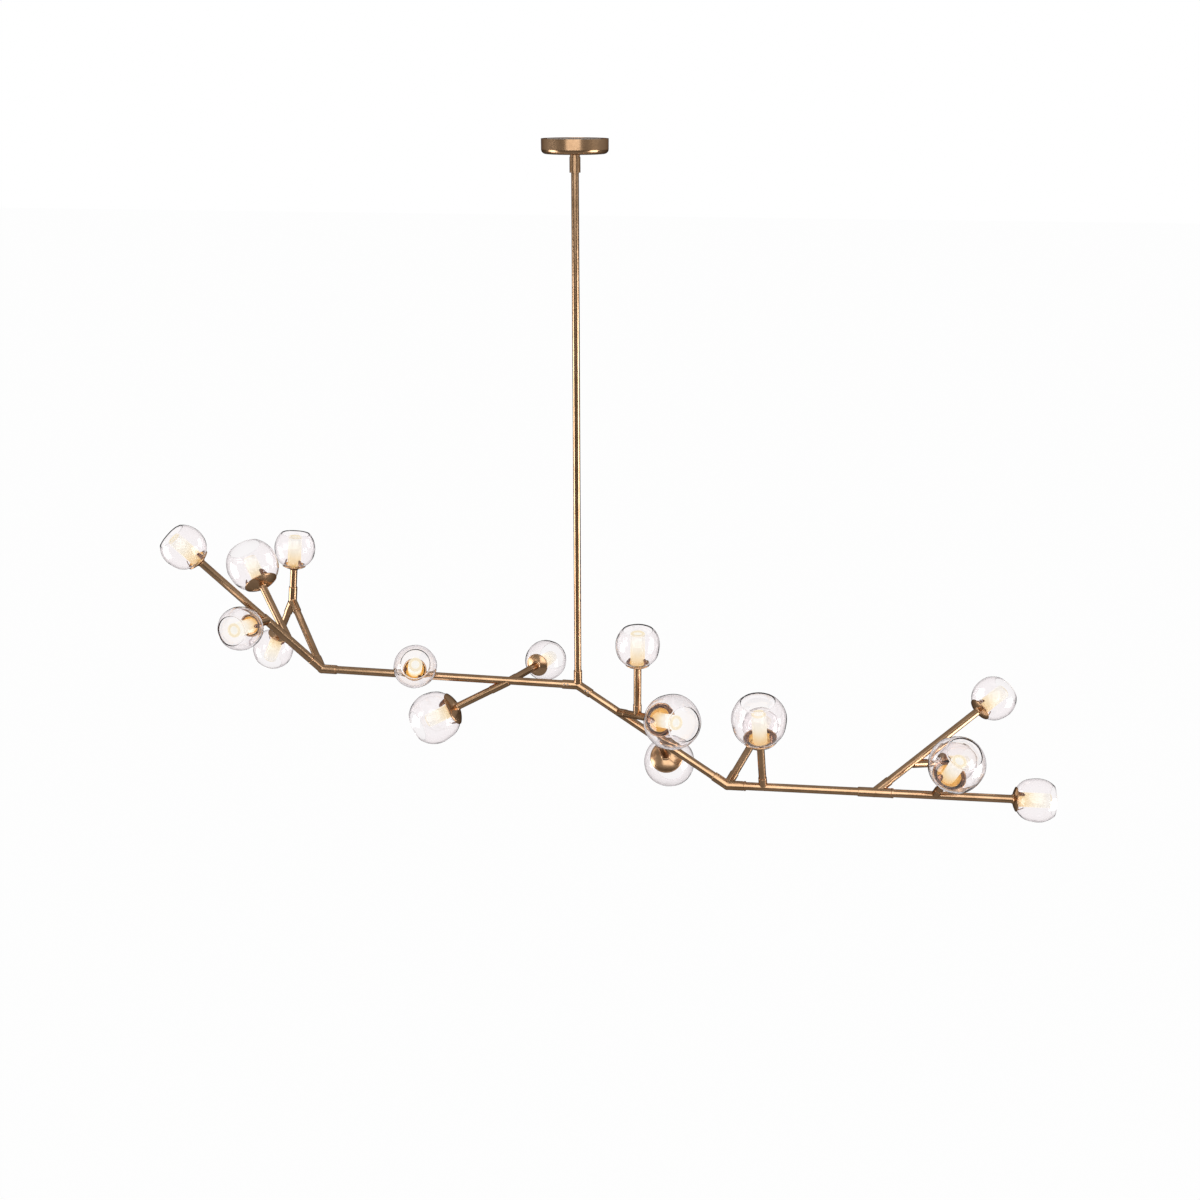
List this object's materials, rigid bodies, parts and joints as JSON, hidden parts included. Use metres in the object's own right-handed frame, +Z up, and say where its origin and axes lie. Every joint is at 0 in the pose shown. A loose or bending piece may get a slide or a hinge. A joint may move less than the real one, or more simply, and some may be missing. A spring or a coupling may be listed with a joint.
{
  "type": "branch chandelier",
  "caption": "Hanging branch chandelier: a bent brass trunk under a straight stem, with slim arms that end in open clear glass globes round glowing lamps.",
  "frame": {"origin": "middle of the ceiling face, between the two ceiling screw holes", "axes": "+X along the trunk towards its lower end, +Z up, -Y towards the viewer"},
  "size_m": [1.7486, 0.4199, 1.3258],
  "materials": {
    "brass": "satin",
    "clear_glass": "clear",
    "lamp": "frosted",
    "holder": "matte",
    "block": "matte",
    "steel": "satin"
  },
  "bodies": {
    "mount": {"canopy": "brass", "crossbar": "steel", "swivel_stud": "brass", "canopy_nut": "brass", "terminal_block": "block"},
    "stem": {"stem_collar": "brass", "stem_upper": "brass", "stem_coupling": "brass", "stem_lower": "brass", "hub_center": "brass", "hub_grub_screws": "steel"},
    "left_limb": {"trunk_left": "brass", "hub_left": "brass", "fork_left": "brass", "fork_sprig": "brass", "branch_sockets_left": "brass", "arms_left": "brass", "cups_left": "brass", "lamp_holders_left": "holder", "lamps_left": "lamp", "globe_01": "clear_glass", "globe_02": "clear_glass", "globe_03": "clear_glass", "globe_04": "clear_glass", "globe_05": "clear_glass", "globe_06": "clear_glass", "globe_07": "clear_glass", "globe_08": "clear_glass"},
    "middle_limb": {"trunk_middle": "brass", "hub_lower": "brass", "branch_sockets_middle": "brass", "arms_middle": "brass", "cups_middle": "brass", "lamp_holders_middle": "holder", "lamps_middle": "lamp", "globe_09": "clear_glass", "globe_10": "clear_glass", "globe_11": "clear_glass", "globe_16": "clear_glass"},
    "right_limb": {"turning_ring_lower": "brass", "trunk_right": "brass", "hub_right": "brass", "branch_sockets_right": "brass", "arms_right": "brass", "cups_right": "brass", "lamp_holders_right": "holder", "lamps_right": "lamp", "globe_12": "clear_glass", "globe_13": "clear_glass", "globe_17": "clear_glass"},
    "end_limb": {"turning_ring_end": "brass", "trunk_end": "brass", "branch_socket_end": "brass", "arms_end": "brass", "cups_end": "brass", "lamp_holders_end": "holder", "lamps_end": "lamp", "globe_14": "clear_glass", "globe_15": "clear_glass"}
  },
  "joints": [
    {"name": "stem_swivel", "type": "hinge", "parent": "mount", "child": "stem", "pos_m": [0, 0, -0.03], "axis": [0, 0, 1], "range_deg": [-170, 170]},
    {"name": "left_limb_turn", "type": "hinge", "parent": "stem", "child": "left_limb", "pos_m": [0, 0, -1.05], "axis": [1, 0, 0], "range_deg": [-25, 25]},
    {"name": "middle_limb_turn", "type": "hinge", "parent": "stem", "child": "middle_limb", "pos_m": [0, 0, -1.05], "axis": [0.8682, -0.2326, -0.4384], "range_deg": [-20, 20]},
    {"name": "right_limb_turn", "type": "hinge", "parent": "middle_limb", "child": "right_limb", "pos_m": [0.31254, -0.08374, -1.20781], "axis": [0.9986, 0.0523, 0], "range_deg": [-20, 20]},
    {"name": "end_limb_turn", "type": "hinge", "parent": "right_limb", "child": "end_limb", "pos_m": [0.59815, -0.06878, -1.20781], "axis": [0.9986, 0.0523, 0], "range_deg": [-20, 20]}
  ]
}
